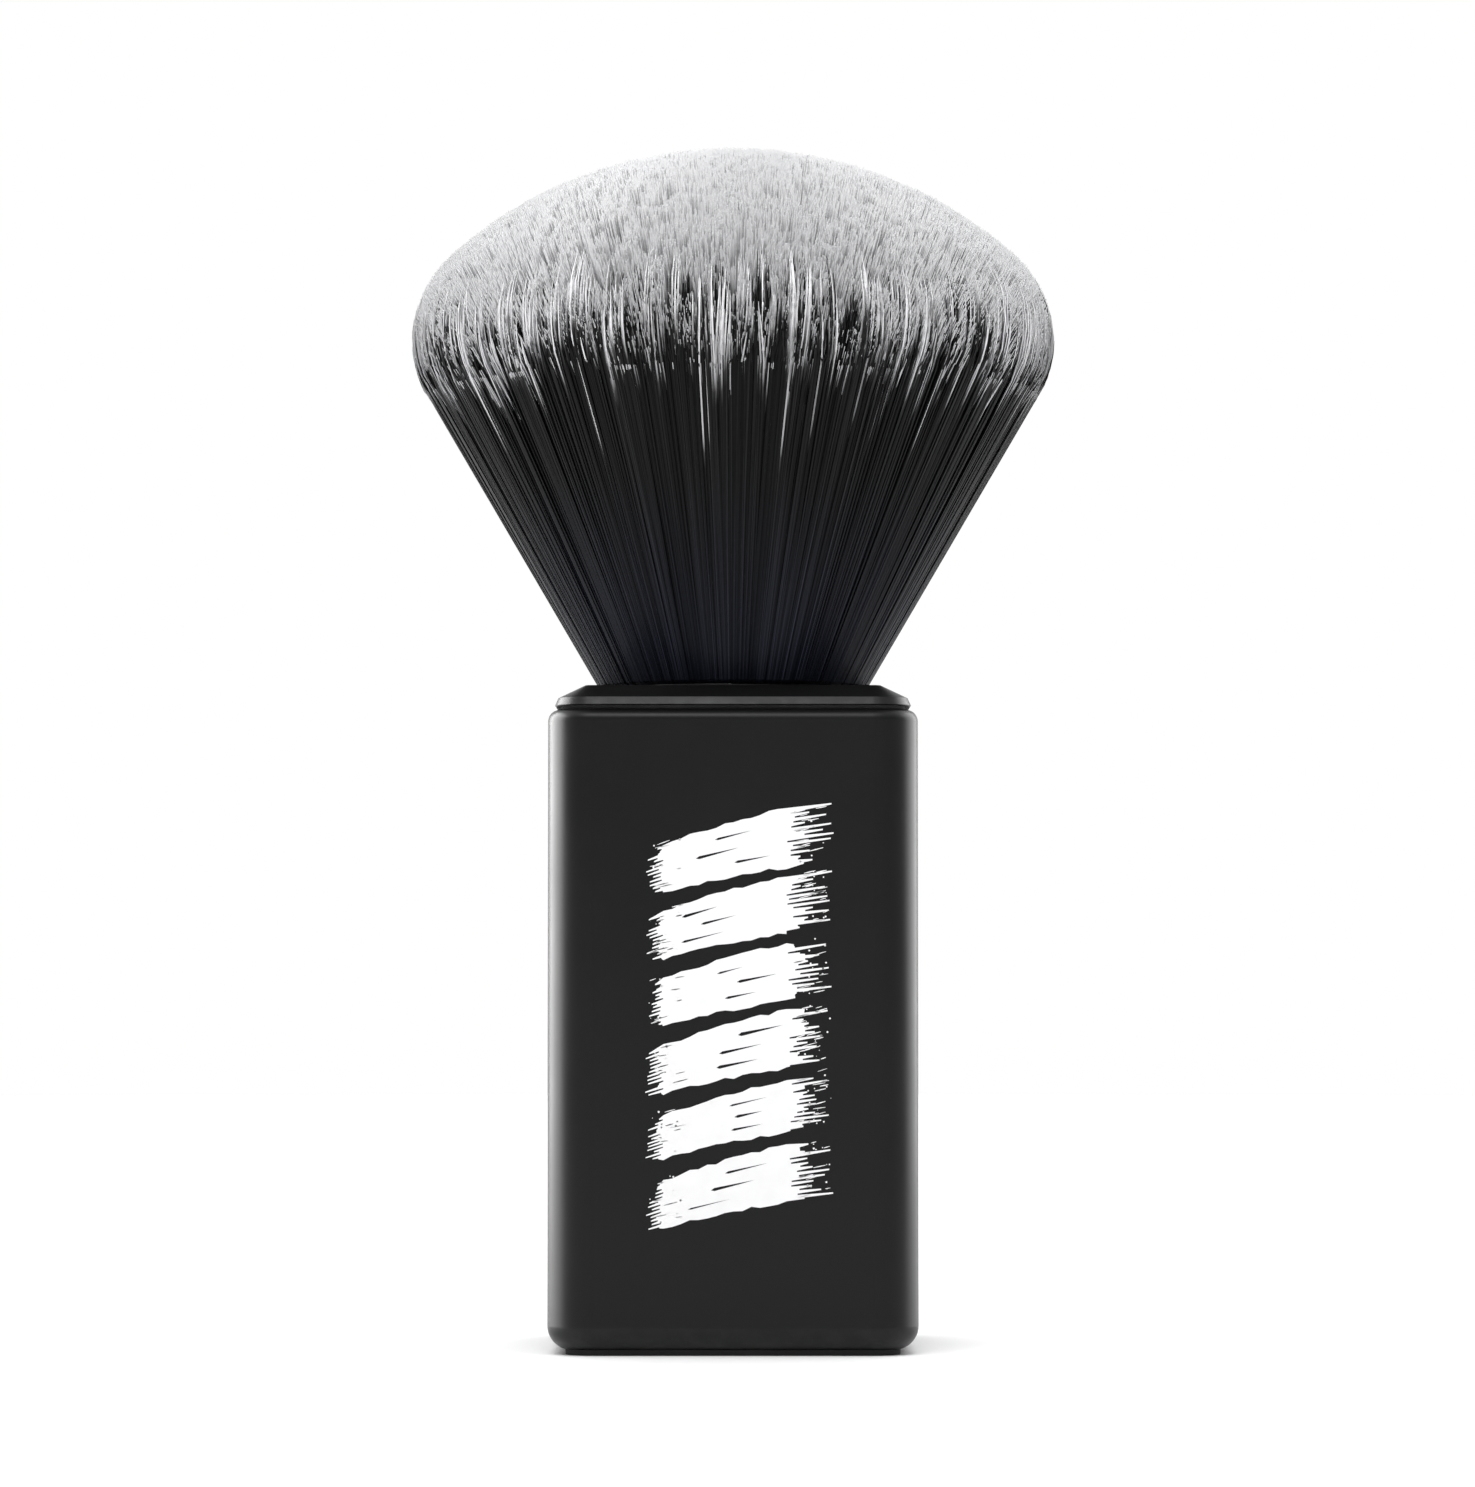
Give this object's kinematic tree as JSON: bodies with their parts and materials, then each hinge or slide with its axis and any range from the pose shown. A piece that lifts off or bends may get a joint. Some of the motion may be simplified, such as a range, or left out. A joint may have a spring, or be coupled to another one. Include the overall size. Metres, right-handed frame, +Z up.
{
  "type": "shaving brush",
  "caption": "Round-headed soft barber's brush with two-tone synthetic fibres in a square, satin black, weighted handle that stands on its foot.",
  "frame": {"origin": "centre of the foot pad's underside, on the handle's axis", "axes": "+Z up the handle to the fibre tips, the printed face looks along -Y, +X to the right seen from the front"},
  "size_m": [0.0584, 0.0584, 0.1086],
  "materials": {
    "fibre": "fine synthetic fibres, black at the root and white at the tips, soft sheen",
    "thread": "waxed twisted thread",
    "resin": "cast clear amber resin",
    "adhesive": "cured adhesive",
    "black_metal": "satin black anodised, very fine grain",
    "rubber": "matt black rubber",
    "brass": "turned and knurled",
    "steel": "turned, zinc plated",
    "print": "matt white screen ink",
    "moulding": "moulded ABS with fine texture"
  },
  "bodies": {
    "root": {"fibre_knot": "fibre", "binding_thread": "thread", "resin_plug": "resin", "knot_adhesive": "adhesive", "knot_cup": "black_metal", "cup_seal": "rubber", "cup_insert": "brass", "cup_key_pin": "steel", "top_cap": "black_metal", "gap_gasket": "rubber", "handle_sleeve": "black_metal", "front_print": "print", "core_carrier": "moulding", "counterweight": "steel", "base_plate": "steel", "tie_bolt": "steel", "bolt_washer": "steel", "base_pad": "rubber"}
  },
  "joints": []
}
